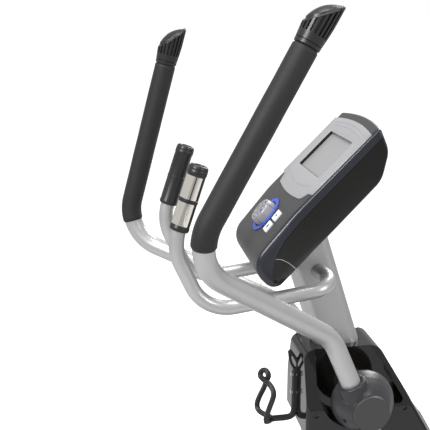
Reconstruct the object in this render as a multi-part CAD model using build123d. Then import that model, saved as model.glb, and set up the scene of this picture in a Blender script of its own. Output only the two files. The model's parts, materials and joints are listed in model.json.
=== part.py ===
from build123d import *
import os
from math import atan2, cos, degrees, radians, sin, sqrt, tan

# Standing elliptical cross-trainer with a front drive housing, two swinging arms and a console.
# The origin is on the floor under the middle of the machine. +X is the machine's front, +Y the
# user's left and +Z up. Sizes are in millimetres. Everything is laid out from the swing axis of
# the two arms, a lateral line at PIVOT_X and PIVOT_Z, and moved into place when it is saved.

PIVOT_X = 68
PIVOT_Z = 950
FLOOR = -PIVOT_Z
REST_SWING = 7.4  # degrees: mid stride, right arm tipped forward and left arm back
SIDES = {"right": -1, "left": 1}
RUNNING_GAP = 0.05  # radial clearance of a turning shaft

# the swinging arms, in the plane of an arm that hangs at mid swing
ARM_TUBE = 38
ARM_WALL = 2
SOCKET = (-38, 144.8, 43.4)  # where the tube leaves its socket
LOWER_BEND = (-91.3, 144.8, 133.3)
UPPER_BEND = (-400.6, 300.6, 296.8)
ARM_END = (-256.1, 283.2, 657.6)
LOWER_BEND_RADIUS = 85
UPPER_BEND_RADIUS = 88
FOAM = 43
CAP_DIAMETER = 46
CAP_LENGTH = 86
CAP_STUB = 30
LOWER_KNEE = (82, 150, -160)
ROCKER_PIN = (-50, 189, -590)  # where a pedal arm hangs on its swinging arm
LOWER_KNEE_RADIUS = 150

# the pivot
AXLE = 25
HUB_OUTER = 44
HUB_INNER_FACE = 109
HUB_OUTER_FACE = 170
COVER_BASE = 62  # radius of the cover beside the housing
COVER_NOSE = 36
COVER_BASE_FACE = 106
COVER_NOSE_FACE = 174
AXLE_CAP_FACE = 179
COVER_WALL = 2.5

# frame
SPINE_WIDTH = 80
SPINE_HEIGHT = 50
SPINE_BOTTOM = FLOOR + 44
SPINE_TOP = SPINE_BOTTOM + SPINE_HEIGHT
SPINE_REAR = -790
SPINE_FRONT = 590
TUBE_WALL = 2.5
STABILIZER_LENGTH = 520
STABILIZER_DEEP = 70
STABILIZER_HIGH = 40
STABILIZER_BOTTOM = FLOOR + 8
REAR_STABILIZER = SPINE_REAR + STABILIZER_DEEP / 2
FRONT_STABILIZER = SPINE_FRONT - STABILIZER_DEEP / 2
WHEEL_X = FRONT_STABILIZER + 70
WHEEL_Z = FLOOR + 40
WHEEL_Y = 130
WHEEL_RADIUS = 31
WHEEL_HALF = 11
WHEEL_BOLT = 8
UPRIGHT_X = -52
UPRIGHT_DEEP = 70
UPRIGHT_WIDE = 60
PIVOT_TUBE = 60
PIVOT_TUBE_HALF = 78

# mast: a rounded box tube that leans back towards the user
MAST_LEAN = 18
MAST_DEEP = 90
MAST_WIDE = 60
MAST_FOOT_Z = 62
MAST_TOP_Z = 356
MAST_X_AT_PIVOT = 1.0  # where the mast's centre line crosses the pivot's height

# housing
SHROUD_HALF = 92
SHROUD_WALL = 3
NECK_HALF = 48  # the housing is narrower round the mast
DECK_Z = 86
FLARE_FOOT_Z = -30  # below this height the sides are upright
FRONT_TOP = (50, DECK_Z)  # the front edge runs straight from here
FRONT_FOOT = (292, -336)
RECESS_RADIUS = 76
SHROUD_SCREWS = [(-84, -40), (96, -34), (30, -560), (470, -480), (470, -760), (120, -800)]
TRIM_RUN = (180, 430)  # where the trim strip starts and ends along the front edge
TRIM_PROUD = 10
TRIM_HALF = 22

# crank, in the pivot's frame
CRANK_X = 376
CRANK_Z = -590
CRANK_RADIUS = 170
CRANK_ANGLE = 115.9  # the right crank's angle above the front horizontal at rest
CRANK_ARM_FACES = (97, 111)
CRANK_PIN_END = 120
CRANK_SHAFT = 25
PEDAL_ARM_FACES = (125, 165)
PAD_MIDDLE = 162
PAD_WIDTH = 124
PULLEY_RADIUS = 150
BELT_FACES = (44, 64)
BELT_THICK = 4
FLYWHEEL_X = 132
FLYWHEEL_Z = -700
FLYWHEEL_RADIUS = 112
SMALL_PULLEY_RADIUS = 22
FLYWHEEL_SHAFT = 16

# console: its face frame has its origin at the display's centre
CONSOLE_TILT = 45.1
DISPLAY_X = -56.7
DISPLAY_Z = 464.7
CONSOLE_HALF = 121
CONSOLE_WALL = 3
BRACKET_DEPTH = -60  # the mast's top plate below the display's face
DISPLAY_WIDE = 150
DISPLAY_HIGH = 91
BEZEL_HALF = 118
BEZEL_THICK = 2.2
PAD_UP = -163  # the key pad's centre below the display's
PAD_RIGHT = -8
PAD_DROP = -3.4
PAD_TILT = 5.4
RING_OUTER = 38
RING_INNER = 30
PAD_RADIUS = 27
KEY_WIDE = 25
KEY_HIGH = 21
KEY_RIGHT = 60
KEY_HEIGHTS = (14, -12)

# hand pulse bars
PULSE_TUBE = 28
PULSE_GRIP = 35
PULSE_GRIP_LENGTH = 113
CONTACTS = ((10, 53), (60, 103))  # where each metal plate starts and ends along a grip
CONTACT_TURN = 60  # each plate's middle faces back and outwards, this far round from straight back
PULSE_PATH = [
    (-74, 22, 240), (-44, 100, 229), (-305, 101, 190), (-364, 108.2, 318), (-316.2, 108.2, 464.3),
]
PULSE_BENDS = [40, 75, 92]

# bottle cage
STRAP = 11
CAGE_PLATE_X = -111
CAGE_BOLTS = (11, -28)


TILT = radians(CONSOLE_TILT)
FACE = Plane(origin=(DISPLAY_X, 0, DISPLAY_Z), x_dir=(0, -1, 0), z_dir=(-sin(TILT), 0, cos(TILT)))
SECTION = Plane(origin=(DISPLAY_X, 0, DISPLAY_Z), x_dir=(cos(TILT), 0, sin(TILT)), z_dir=(0, -1, 0))


def save(node, *solids):
    """Write one node, moved from the pivot's frame to the floor frame."""
    group = Compound(children=[piece for solid in solids for piece in solid.solids()])
    export_step(group.moved(Location((PIVOT_X, 0, PIVOT_Z))), f"parts/{node}.step")


def along_y(radius, near, far, x=0, z=0):
    """A cylinder parallel to the pivot, between two distances from the middle plane."""
    return Location((x, (near + far) / 2, z), (90, 0, 0)) * Cylinder(radius, abs(far - near))


def block(x0, x1, y0, y1, z0, z1):
    """A box between two corners."""
    centre = Pos((x0 + x1) / 2, (y0 + y1) / 2, (z0 + z1) / 2)
    return centre * Box(abs(x1 - x0), abs(y1 - y0), abs(z1 - z0))


def side_plate(sketch, y0, y1):
    """A side-view outline, drawn in x and z, given thickness across the machine."""
    plane = Plane(origin=(0, max(y0, y1), 0), x_dir=(1, 0, 0), z_dir=(0, -1, 0))
    return extrude(plane * sketch, amount=abs(y1 - y0))


def bend(before, corner, after, radius):
    """The tangent arc that rounds one corner: its start, middle, end and centre."""
    inward = (before - corner).normalized()
    outward = (after - corner).normalized()
    half_turn = radians(180 - inward.get_angle(outward)) / 2
    reach = radius * tan(half_turn)
    bisector = (inward + outward).normalized()
    centre = corner + bisector * (radius / cos(half_turn))
    return corner + inward * reach, centre - bisector * radius, corner + outward * reach, centre


def bent_path(points, radii):
    """Straight runs joined by tangent arcs."""
    corners = [Vector(*point) for point in points]
    edges = []
    start = corners[0]
    for before, corner, after, radius in zip(corners, corners[1:], corners[2:], radii):
        arc_start, middle, arc_end, centre = bend(before, corner, after, radius)
        edges.append(Edge.make_line(start, arc_start))
        edges.append(Edge.make_three_point_arc(arc_start, middle, arc_end))
        start = arc_end
    edges.append(Edge.make_line(start, corners[-1]))
    return Wire(edges)


def rounded_outline(corners):
    """A closed outline of straight runs joined by tangent arcs, from ((x, y), radius) corners."""
    points = [Vector(*point) for point, radius in corners]
    arcs = []
    for index, (point, radius) in enumerate(corners):
        after = points[(index + 1) % len(points)]
        arcs.append(bend(points[index - 1], points[index], after, radius))
    edges = []
    for index, (arc_start, middle, arc_end, centre) in enumerate(arcs):
        edges.append(Edge.make_three_point_arc(arc_start, middle, arc_end))
        edges.append(Edge.make_line(arc_end, arcs[(index + 1) % len(arcs)][0]))
    return make_face(Wire(edges))


def tube(path, diameter, wall=None):
    """A round bar or tube along a path."""
    section = Circle(diameter / 2)
    if wall:
        section -= Circle(diameter / 2 - wall)
    return sweep(Plane(origin=path @ 0, z_dir=path % 0) * section, path=path)


def mirrored_points(points, side):
    """A path for one side of the machine: its second values are distances from the middle."""
    return [(x, side * y, z) for x, y, z in points]


def swung(shape, side):
    """Turn an arm from mid swing to its rest place."""
    return shape.rotate(Axis((0, 0, 0), (0, 1, 0)), -side * REST_SWING)


def swung_point(point, side):
    """The rest place of a point of an arm, in x and z."""
    turn = radians(-side * REST_SWING)
    x, z = point[0], point[2]
    return cos(turn) * x + sin(turn) * z, -sin(turn) * x + cos(turn) * z


def box_tube_x(x0, x1, wide, z0, z1):
    """A hollow rectangular tube along the machine."""
    outer = block(x0, x1, -wide / 2, wide / 2, z0, z1)
    inner = block(x0, x1, -wide / 2 + TUBE_WALL, wide / 2 - TUBE_WALL, z0 + TUBE_WALL, z1 - TUBE_WALL)
    return outer - inner


# ---------------------------------------------------------------- base frame

def make_base():
    """The spine beam with the supports of the crank and the flywheel welded to it."""
    spine = box_tube_x(SPINE_REAR, SPINE_FRONT, SPINE_WIDTH, SPINE_BOTTOM, SPINE_TOP)
    post = block(CRANK_X - 30, CRANK_X + 30, -25, 25, SPINE_TOP, CRANK_Z)
    hub_shell = along_y(26, -34, 34, CRANK_X, CRANK_Z)
    bearing_seat = along_y(21, -35, 35, CRANK_X, CRANK_Z)
    cheeks = []
    for side in (-1, 1):
        cheek = block(FLYWHEEL_X - 35, FLYWHEEL_X + 35, side * 26, side * 32, SPINE_TOP, FLYWHEEL_Z)
        cheek += along_y(35, side * 26, side * 32, FLYWHEEL_X, FLYWHEEL_Z)
        cheeks.append(cheek)
    shaft_hole = along_y(FLYWHEEL_SHAFT / 2 + RUNNING_GAP, -40, 40, FLYWHEEL_X, FLYWHEEL_Z)
    base = spine + post + hub_shell + cheeks[0] + cheeks[1] - bearing_seat - shaft_hole
    save("base_spine", base)


def make_stabilizers():
    """The two cross feet, their end caps and the rubber pads they stand on."""
    caps = []
    pads = []
    half = STABILIZER_LENGTH / 2
    top = STABILIZER_BOTTOM + STABILIZER_HIGH
    for name, x in (("front_stabilizer", FRONT_STABILIZER), ("rear_stabilizer", REAR_STABILIZER)):
        x0, x1 = x - STABILIZER_DEEP / 2, x + STABILIZER_DEEP / 2
        outer = block(x0, x1, -half, half, STABILIZER_BOTTOM, top)
        outer = fillet(outer.edges().filter_by(Axis.Y), 12)
        core = block(x0 + 2.5, x1 - 2.5, -half, half, STABILIZER_BOTTOM + 2.5, top - 2.5)
        core = fillet(core.edges().filter_by(Axis.Y), 9.5)
        beam = outer - core
        beam -= block(x0, x1, -SPINE_WIDTH / 2, SPINE_WIDTH / 2, SPINE_BOTTOM, top + 1)
        if name == "front_stabilizer":
            for side in (-1, 1):
                beam += wheel_fork(side)
        save(name, beam)
        for side in (-1, 1):
            cap = block(x0 - 2, x1 + 2, side * half, side * (half + 14), STABILIZER_BOTTOM - 2, top + 2)
            cap = fillet(cap.edges().filter_by(Axis.Y), 13)
            caps.append(fillet(cap.faces().sort_by(Axis.Y)[-1 if side > 0 else 0].edges(), 6))
            pads.append(Pos(x, side * (half - 60), FLOOR + 4) * Cylinder(24, 8))
    save("stabilizer_end_caps", *caps)
    save("floor_pads", *pads)


def wheel_fork(side):
    """Two ears and a bolt that carry a transport wheel just clear of the floor."""
    fork = None
    for offset in (-WHEEL_HALF - 6, WHEEL_HALF + 2):
        y = side * WHEEL_Y + offset
        ear = block(FRONT_STABILIZER + 20, WHEEL_X, y, y + 4, WHEEL_Z - 14, WHEEL_Z + 8)
        ear += along_y(14, y, y + 4, WHEEL_X, WHEEL_Z)
        fork = ear if fork is None else fork + ear
    reach = WHEEL_HALF + 9
    return fork + along_y(WHEEL_BOLT / 2, side * WHEEL_Y - reach, side * WHEEL_Y + reach, WHEEL_X, WHEEL_Z)


def make_wheels():
    for name, side in SIDES.items():
        y = side * WHEEL_Y
        tread = along_y(WHEEL_RADIUS, y - WHEEL_HALF, y + WHEEL_HALF, WHEEL_X, WHEEL_Z)
        tread = fillet(tread.edges(), 3)
        bore = along_y(WHEEL_BOLT / 2 + RUNNING_GAP, y - WHEEL_HALF, y + WHEEL_HALF, WHEEL_X, WHEEL_Z)
        save(f"transport_wheel_{name}", tread - bore)


def make_upright():
    """The upright, its neck and the cross tube that holds the arms' axle."""
    x0, x1 = UPRIGHT_X - UPRIGHT_DEEP / 2, UPRIGHT_X + UPRIGHT_DEEP / 2
    half = UPRIGHT_WIDE / 2
    post = block(x0, x1, -half, half, SPINE_TOP, -56)
    post = fillet(post.edges().filter_by(Axis.Z), 10)
    core = block(x0 + 3, x1 - 3, -half + 3, half - 3, SPINE_TOP, -56)
    post -= fillet(core.edges().filter_by(Axis.Z), 7)
    corners = [(x0, -56), (x1, -56), (36, -24), (36, 40), (-60, 40), (x0, 20)]
    neck = side_plate(make_face(Polyline(*corners, close=True)), -26, 26)
    spigot = mast_bar(MAST_DEEP - 8, MAST_WIDE - 8, 18, 36, 120)
    cross_tube = along_y(PIVOT_TUBE / 2, -PIVOT_TUBE_HALF, PIVOT_TUBE_HALF)
    upright = post + neck + spigot + cross_tube - along_y(AXLE / 2, -90, 90)
    save("upright_tube", upright)


def mast_bar(deep, wide, corner, z_low, z_high):
    """A rounded bar on the mast's leaning centre line, cut level at both ends."""
    lean = radians(MAST_LEAN)
    along = Vector(-sin(lean), 0, cos(lean))
    start = Vector(MAST_X_AT_PIVOT, 0, 0) + along * ((z_low - 60) / cos(lean))
    plane = Plane(origin=start, x_dir=(cos(lean), 0, sin(lean)), z_dir=along)
    bar = extrude(plane * RectangleRounded(deep, wide, corner), amount=(z_high - z_low + 120) / cos(lean))
    return bar & block(-300, 300, -100, 100, z_low, z_high)


def mast_centre(z):
    """The mast's centre line at a height."""
    return MAST_X_AT_PIVOT - z * tan(radians(MAST_LEAN))


def make_mast():
    outer = mast_bar(MAST_DEEP, MAST_WIDE, 22, MAST_FOOT_Z, MAST_TOP_Z)
    inner = mast_bar(MAST_DEEP - 7, MAST_WIDE - 7, 18.5, MAST_FOOT_Z, MAST_TOP_Z)
    mast = outer - inner - FACE.offset(BRACKET_DEPTH) * Pos(0, 0, 100) * Box(400, 600, 200)
    for side in (-1, 1):
        first, second = (Vector(*point) for point in mirrored_points(PULSE_PATH[:2], side))
        hole = Plane(origin=first, z_dir=second - first) * Circle(PULSE_TUBE / 2 + 0.2)
        mast -= extrude(hole, amount=40)
    save("mast", mast)
    bolts = []
    for side in (-1, 1):
        for z in (58, 108):
            head = along_y(8, side * (MAST_WIDE / 2), side * (MAST_WIDE / 2 + 5), mast_centre(z), z)
            bolts.append(head)
    save("mast_bolts", *bolts)


def make_pivot_axle():
    """The fixed axle that both arms swing on, with a retaining washer at each end."""
    axle = along_y(AXLE / 2, -HUB_OUTER_FACE - 1, HUB_OUTER_FACE + 1)
    for side in (-1, 1):
        axle += along_y(HUB_OUTER / 2 - 6, side * (HUB_OUTER_FACE + 0.4), side * (HUB_OUTER_FACE + 3))
        axle += along_y(HUB_OUTER / 2 - 4, side * (PIVOT_TUBE_HALF + 0.2), side * (HUB_INNER_FACE - 0.6))
    save("pivot_axle", axle)


# ---------------------------------------------------------------- housing

def shroud_outline():
    """The housing seen from the side: slim at the pivot, deep round the crank."""
    return rounded_outline([
        ((-103, DECK_Z - 4), 22), (FRONT_TOP, 26), (FRONT_FOOT, 150),
        ((560, -425), 120), ((604, -846), 130),
        ((8, -846), 70), ((-13, -600), 300), ((-13, -106), 4), ((-103, -92), 8),
    ])


def recess_outline(grow):
    """The recess behind an arm's hub, open at the top, seen from the side."""
    upper = rounded_outline([
        ((-80, 140), 5), ((-80, 10), 20), ((-55, -24), 20), ((99, -24), 8), ((5, 140), 5),
    ])
    if grow:
        upper = offset(upper, amount=grow)
    return upper + Pos(0, 4) * Circle(RECESS_RADIUS + grow)


def outside_flare(side, inset):
    """The space outside the housing's upper sides, which slope in towards the deck."""
    half = SHROUD_HALF - inset
    neck = NECK_HALF + 2 - inset
    corners = [(neck, 160), (neck, DECK_Z), (half, FLARE_FOOT_Z), (200, FLARE_FOOT_Z), (200, 160)]
    outline = make_face(Polyline(*((side * y, z) for y, z in corners), close=True))
    return extrude(Plane.YZ.offset(-300) * outline, amount=600)


def make_shroud():
    """Two moulded shells that meet on the middle plane, hollow for the drive."""
    outline = shroud_outline()
    hollow = offset(outline, amount=-SHROUD_WALL)
    mast_way = mast_bar(MAST_DEEP + 3, MAST_WIDE + 3, 23, 40, 160)
    half_width = UPRIGHT_WIDE / 2 + 1
    upright_way = block(-95, -13, -half_width, half_width, -200, -80)
    for name, side in SIDES.items():
        shell = side_plate(outline, 0, side * SHROUD_HALF)
        rim = shell.faces().sort_by(Axis.Y)[-1 if side > 0 else 0].edges()
        shell = fillet(rim, 9)
        recess = side_plate(recess_outline(0), side * NECK_HALF, side * 120)
        recess_wall = side_plate(recess_outline(SHROUD_WALL), side * (NECK_HALF - SHROUD_WALL), side * 120)
        cavity = side_plate(hollow, 0, side * (SHROUD_HALF - SHROUD_WALL))
        cavity = cavity - recess_wall - outside_flare(side, SHROUD_WALL)
        shell = shell - cavity - recess - outside_flare(side, 0) - mast_way - upright_way
        shell -= along_y(PIVOT_TUBE / 2 + 1.5, 0, side * 100)
        shell -= along_y(CRANK_SHAFT / 2 + 4, 0, side * 100, CRANK_X, CRANK_Z)
        shell -= block(70, 540, -42, 42, SPINE_TOP - 5, SPINE_TOP + 40)  # the supports come up through here
        for x, z in SHROUD_SCREWS:
            shell -= along_y(5, side * (SHROUD_HALF - 6), side * 120, x, z)
        save(f"shroud_{name}", shell)


def make_shroud_fittings():
    screws = []
    for side in (-1, 1):
        for x, z in SHROUD_SCREWS:
            screws.append(along_y(4.5, side * (SHROUD_HALF - 6), side * (SHROUD_HALF - 2.5), x, z))
    save("shroud_screws", *screws)
    start = Vector(*FRONT_TOP)
    down = (Vector(*FRONT_FOOT) - start).normalized()
    out = Vector(-down.Y, down.X)
    near, far = TRIM_RUN
    corners = []
    for along, proud in ((near, 0), (near + 18, TRIM_PROUD), (far - 18, TRIM_PROUD), (far, 0)):
        corner = start + down * along + out * proud
        corners.append((corner.X, corner.Y))
    trim = side_plate(make_face(Polyline(*corners, close=True)), -TRIM_HALF, TRIM_HALF)
    save("shroud_trim", trim)


# ---------------------------------------------------------------- bottle cage

def strap(points, radii):
    """A moulded strap of round-edged section along a bent path."""
    path = bent_path(points, radii)
    return tube(path, STRAP * 0.8)


def make_bottle_cage():
    """A one-piece moulded cage: back plate, foot, and a crossing loop round the bottle."""
    back = block(CAGE_PLATE_X, CAGE_PLATE_X + 6, -11, 11, -66, 34)
    for z in CAGE_BOLTS:
        back -= Location((CAGE_PLATE_X, 0, z), (0, 90, 0)) * Cylinder(3.1, 20)
    foot = strap([(CAGE_PLATE_X + 3, 0, -40), (CAGE_PLATE_X + 3, 0, -80), (-172, 0, -86)], [14])
    prong = strap([(CAGE_PLATE_X + 3, 0, 20), (CAGE_PLATE_X + 1, 0, 40), (-120, 0, 64)], [20])
    cage = back + foot + prong
    for side in (-1, 1):
        arm = [(-166, 0, -86), (-177, 34, -76), (-166, 38, -24), (-172, 6, 8), (-174, -10, 20)]
        cage += strap(mirrored_points(arm, side), [14, 26, 18])
    bow = [(-174, -10, 19), (-172, -9, 29), (-172, 9, 29), (-174, 10, 19)]
    cage += strap(bow, [10, 10])
    save("bottle_cage", cage)
    bolts = []
    for z in CAGE_BOLTS:
        head = Location((CAGE_PLATE_X - 2, 0, z), (0, 90, 0)) * Cylinder(5.5, 4)
        shank = Location(((CAGE_PLATE_X - 104) / 2, 0, z), (0, 90, 0)) * Cylinder(3, -104 - CAGE_PLATE_X)
        spacer_start = CAGE_PLATE_X + 6.2
        spacer = Location(((spacer_start - 104) / 2, 0, z), (0, 90, 0)) * Cylinder(5, -104 - spacer_start)
        bolts.append(head + shank + spacer)
    save("cage_bolts", *bolts)


# ---------------------------------------------------------------- drive

def make_drive():
    bearings = []
    for side in (-1, 1):
        ring = along_y(21, side * 22, side * 34, CRANK_X, CRANK_Z)
        bore = along_y(CRANK_SHAFT / 2 + RUNNING_GAP, side * 20, side * 36, CRANK_X, CRANK_Z)
        bearings.append(ring - bore)
    save("crank_bearings", *bearings)

    inner, outer = CRANK_ARM_FACES
    save("crank_shaft", along_y(CRANK_SHAFT / 2, -outer, outer, CRANK_X, CRANK_Z))
    arms = []
    for side in (-1, 1):
        angle = radians(CRANK_ANGLE if side < 0 else CRANK_ANGLE + 180)
        pin_x = CRANK_X + CRANK_RADIUS * cos(angle)
        pin_z = CRANK_Z + CRANK_RADIUS * sin(angle)
        middle = ((CRANK_X + pin_x) / 2, side * (inner + outer) / 2, (CRANK_Z + pin_z) / 2)
        arm = Location(middle, (0, -degrees(angle), 0)) * Box(CRANK_RADIUS, outer - inner, 40)
        arm += along_y(27, side * inner, side * outer, CRANK_X, CRANK_Z)
        arm += along_y(20, side * inner, side * outer, pin_x, pin_z)
        arm += along_y(10, side * outer, side * CRANK_PIN_END, pin_x, pin_z)
        arms.append(arm - along_y(CRANK_SHAFT / 2, side * 90, side * 118, CRANK_X, CRANK_Z))
    save("crank_arms", *arms)

    near, far = BELT_FACES
    pulley = along_y(PULLEY_RADIUS, near, far, CRANK_X, CRANK_Z)
    web_cut = along_y(PULLEY_RADIUS - 14, near, near + 7, CRANK_X, CRANK_Z)
    web_cut += along_y(PULLEY_RADIUS - 14, far - 7, far, CRANK_X, CRANK_Z)
    web_cut -= along_y(30, near, far, CRANK_X, CRANK_Z)
    pulley = pulley - web_cut - along_y(CRANK_SHAFT / 2, near, far, CRANK_X, CRANK_Z)
    save("drive_pulley", pulley)

    wheel = along_y(FLYWHEEL_RADIUS, -15, 15, FLYWHEEL_X, FLYWHEEL_Z)
    wheel += along_y(FLYWHEEL_SHAFT / 2, -36, 66, FLYWHEEL_X, FLYWHEEL_Z)
    wheel += along_y(SMALL_PULLEY_RADIUS, near, far, FLYWHEEL_X, FLYWHEEL_Z)
    save("flywheel", wheel)

    make_belt()
    magnets = []
    for side in (-1, 1):
        ring = along_y(FLYWHEEL_RADIUS - 6, side * 17, side * 23, FLYWHEEL_X, FLYWHEEL_Z)
        ring -= along_y(FLYWHEEL_RADIUS - 40, side * 16, side * 24, FLYWHEEL_X, FLYWHEEL_Z)
        zone = block(FLYWHEEL_X - 60, FLYWHEEL_X + 60, -30, 30, FLYWHEEL_Z + 40, FLYWHEEL_Z + 130)
        magnets.append(ring & zone)
    top = FLYWHEEL_Z + FLYWHEEL_RADIUS + 8
    bridge = block(FLYWHEEL_X - 20, FLYWHEEL_X + 20, -23, 23, top - 6, top)
    for side in (-1, 1):
        bridge += block(FLYWHEEL_X - 20, FLYWHEEL_X + 20, side * 17, side * 23, FLYWHEEL_Z + 96, top)
    save("brake_magnets", bridge + magnets[0] + magnets[1])


def belt_loop(extra):
    """The outline round both pulleys, at a distance from their rims."""
    big = Vector(CRANK_X, CRANK_Z)
    small = Vector(FLYWHEEL_X, FLYWHEEL_Z)
    big_radius = PULLEY_RADIUS + extra
    small_radius = SMALL_PULLEY_RADIUS + extra
    gap = (big - small).length
    line = atan2(CRANK_Z - FLYWHEEL_Z, CRANK_X - FLYWHEEL_X)
    step = big_radius - small_radius
    spread = radians(90) + atan2(step, sqrt(gap ** 2 - step ** 2))
    corners = []
    for centre, radius in ((small, small_radius), (big, big_radius)):
        for turn in (1, -1):
            angle = line + turn * spread
            corners.append(centre + Vector(radius * cos(angle), radius * sin(angle)))
    low_far = small + Vector(-small_radius * cos(line), -small_radius * sin(line))
    big_far = big + Vector(big_radius * cos(line), big_radius * sin(line))
    edges = [
        Edge.make_three_point_arc(corners[0], low_far, corners[1]),
        Edge.make_line(corners[1], corners[3]),
        Edge.make_three_point_arc(corners[3], big_far, corners[2]),
        Edge.make_line(corners[2], corners[0]),
    ]
    return make_face(Wire(edges))


def make_belt():
    near, far = BELT_FACES
    band = side_plate(belt_loop(0.3 + BELT_THICK), near + 2, far - 2)
    band -= side_plate(belt_loop(0.3), near, far)
    save("drive_belt", band)


# ---------------------------------------------------------------- swinging arms

def arm_points(side):
    return mirrored_points([SOCKET, LOWER_BEND, UPPER_BEND, ARM_END], side)


def socket_axis(side):
    """Direction from the lower bend down through the socket."""
    return (Vector(*arm_points(side)[0]) - Vector(*arm_points(side)[1])).normalized()


def make_arm(name, side):
    points = arm_points(side)
    socket_end = Vector(*points[0])
    down = socket_axis(side)
    start = socket_end + down * 34
    upper_path = bent_path([tuple(start)] + points[1:], [LOWER_BEND_RADIUS, UPPER_BEND_RADIUS])
    save(f"arm_tube_{name}", swung(tube(upper_path, ARM_TUBE, ARM_WALL), side))

    # foam from halfway round the upper bend to the end cap
    corners = [Vector(*point) for point in points]
    arc_start, middle, arc_end, centre = bend(corners[1], corners[2], corners[3], UPPER_BEND_RADIUS)
    foam_spoke = ((middle - centre) * 0.75 + (arc_end - centre) * 0.25).normalized()
    foam_start = centre + foam_spoke * UPPER_BEND_RADIUS
    foam_middle = centre + ((foam_start - centre) + (arc_end - centre)).normalized() * UPPER_BEND_RADIUS
    foam_path = Wire([
        Edge.make_three_point_arc(foam_start, foam_middle, arc_end),
        Edge.make_line(arc_end, corners[3]),
    ])
    save(f"foam_grip_{name}", swung(tube(foam_path, FOAM, (FOAM - ARM_TUBE) / 2 - 0.1), side))

    # end cap: a skirt cut on a slant that faces the user
    up = (corners[3] - corners[2]).normalized()
    lateral = Vector(0, 1, 0)
    forward = (lateral.cross(up)).normalized()
    seat = Plane(origin=corners[3] + up * 0.2, x_dir=forward, z_dir=up)
    skirt = seat * Pos(0, 0, CAP_LENGTH / 2) * Cylinder(CAP_DIAMETER / 2, CAP_LENGTH)
    slant = seat * Pos(0, 0, 60) * Rotation(0, -47, 0) * Pos(0, 0, 60) * Box(240, 120, 120)
    cap = skirt - slant
    cap += seat * Pos(0, 0, -CAP_STUB / 2) * Cylinder(ARM_TUBE / 2 - ARM_WALL - 0.1, CAP_STUB + 2)
    save(f"arm_cap_{name}", swung(cap, side))

    make_lower_arm(name, side, socket_end, down, start)
    make_knuckle(name, side, socket_end, down)


def make_lower_arm(name, side, socket_end, down, tube_start):
    """One weldment: socket, hub on the axle, and the lower tube down to the pedal arm's pin."""
    hub = along_y(HUB_OUTER / 2, side * HUB_INNER_FACE, side * HUB_OUTER_FACE)
    socket_outer = ARM_TUBE / 2 + 3
    sleeve_plane = Plane(origin=socket_end + down * 4, z_dir=down)
    sleeve = extrude(sleeve_plane * Circle(socket_outer), amount=34)
    rod_start = socket_end + down * 30
    pin = Vector(ROCKER_PIN[0], side * ROCKER_PIN[1], ROCKER_PIN[2])
    knee = Vector(LOWER_KNEE[0], side * LOWER_KNEE[1], LOWER_KNEE[2])
    lower_path = bent_path([tuple(rod_start), tuple(knee), tuple(pin)], [LOWER_KNEE_RADIUS])
    lower = tube(lower_path, ARM_TUBE)
    boss = along_y(24, side * 168, side * 209, pin.X, pin.Z)
    stud = along_y(10, side * (PEDAL_ARM_FACES[0] - 1), side * 170, pin.X, pin.Z)
    retainer = along_y(14, side * 122, side * (PEDAL_ARM_FACES[0] - 0.6), pin.X, pin.Z)
    weldment = hub + sleeve + lower + boss + stud + retainer
    inside_plane = Plane(origin=socket_end + down * 2, z_dir=down)
    inside = extrude(inside_plane * Circle(ARM_TUBE / 2 + 0.1), amount=32.2)
    weldment = weldment - inside - along_y(AXLE / 2 + RUNNING_GAP, side * 100, side * 180)
    save(f"lower_arm_{name}", swung(weldment, side))


def make_knuckle(name, side, socket_end, down):
    """A hollow cone round the hub, with a collar where the tube comes out, and its end disc."""
    base = Plane(origin=(0, side * COVER_BASE_FACE, 0), x_dir=(1, 0, 0), z_dir=(0, side, 0))
    depth = COVER_NOSE_FACE - COVER_BASE_FACE
    lip = 12
    body = extrude(base * Circle(COVER_BASE), amount=lip)
    body += loft([base.offset(lip) * Circle(COVER_BASE), base.offset(depth) * Circle(COVER_NOSE)])
    collar_length = 62
    collar_plane = Plane(origin=socket_end - down * 2, z_dir=down)
    collar = extrude(collar_plane * Circle(27.5), amount=collar_length)
    collar &= block(-200, 200, side * (COVER_BASE_FACE + 1), side * 300, -200, 200)
    cover = body + collar
    hollow = extrude(base.offset(-1) * Circle(COVER_BASE - COVER_WALL), amount=lip + 1)
    hollow += loft([
        base.offset(lip) * Circle(COVER_BASE - COVER_WALL),
        base.offset(depth - COVER_WALL) * Circle(COVER_NOSE - COVER_WALL),
    ])
    cover -= hollow
    cover -= extrude(collar_plane.offset(-1) * Circle(ARM_TUBE / 2 + 0.3), amount=8)
    cover -= extrude(collar_plane.offset(5) * Circle(25), amount=collar_length + 20)
    cover -= along_y(24, side * 160, side * 190)
    # the lower tube leaves through a slot at the cone's underside
    slot_plane = Plane(origin=(-8, side * 144.8, -8), z_dir=down)
    slot = extrude(slot_plane * Circle(ARM_TUBE / 2 + 2.5), amount=120)
    cover -= slot
    save(f"knuckle_cover_{name}", swung(cover, side))
    disc = along_y(COVER_NOSE - 0.6, side * (COVER_NOSE_FACE + 0.2), side * AXLE_CAP_FACE)
    disc = fillet(disc.faces().sort_by(Axis.Y)[-1 if side > 0 else 0].edges(), 2.5)
    save(f"axle_cap_{name}", swung(disc, side))


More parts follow.
